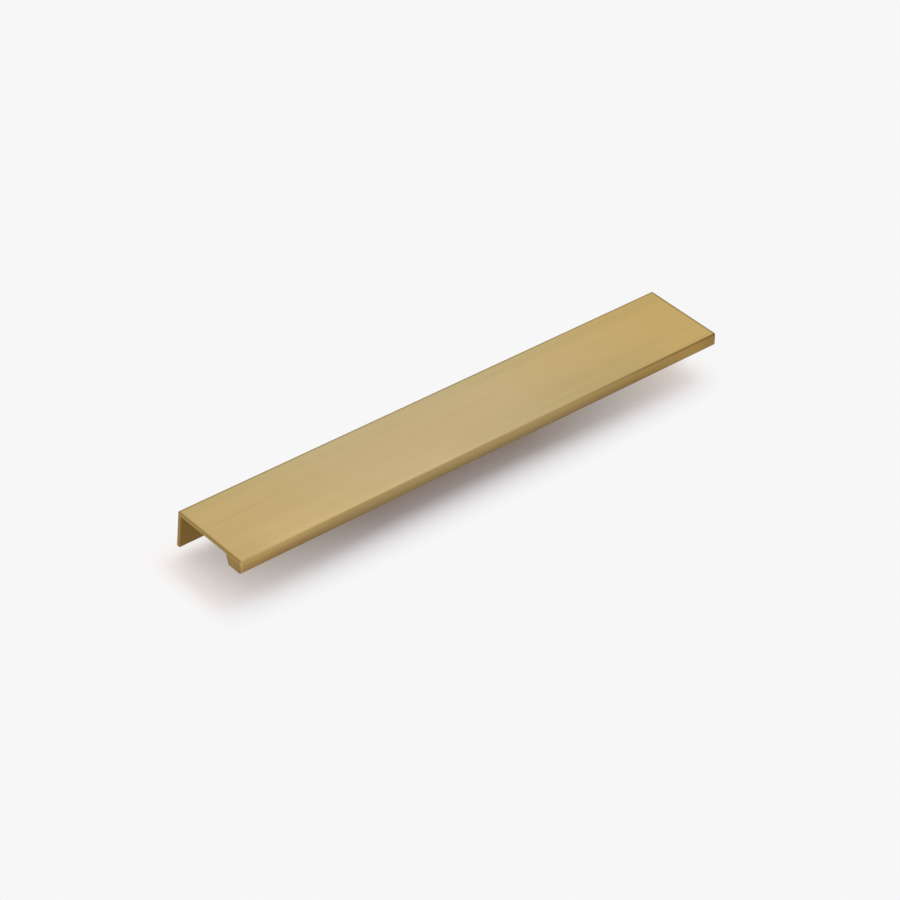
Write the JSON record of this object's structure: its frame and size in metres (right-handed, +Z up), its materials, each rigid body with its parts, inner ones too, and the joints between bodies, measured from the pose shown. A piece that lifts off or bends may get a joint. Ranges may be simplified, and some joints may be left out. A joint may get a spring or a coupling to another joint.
{
  "type": "tab pull",
  "caption": "Satin brass tab pull: a flat plate hooks over the edge of a door or drawer front, with a thick lip in front for the fingers and a screw flange behind.",
  "frame": {"origin": "midway between the screw holes, on the middle of the flange face that bears on the back of the door", "axes": "+X along the pull, -Y towards the lip in front of the door, +Y towards the flange behind it, +Z up with the plate on top"},
  "size_m": [0.3, 0.0448, 0.0196],
  "materials": {
    "satin_brass": "satin, brushed along its length"
  },
  "bodies": {
    "root": {"tab_pull": "satin_brass"}
  },
  "joints": []
}
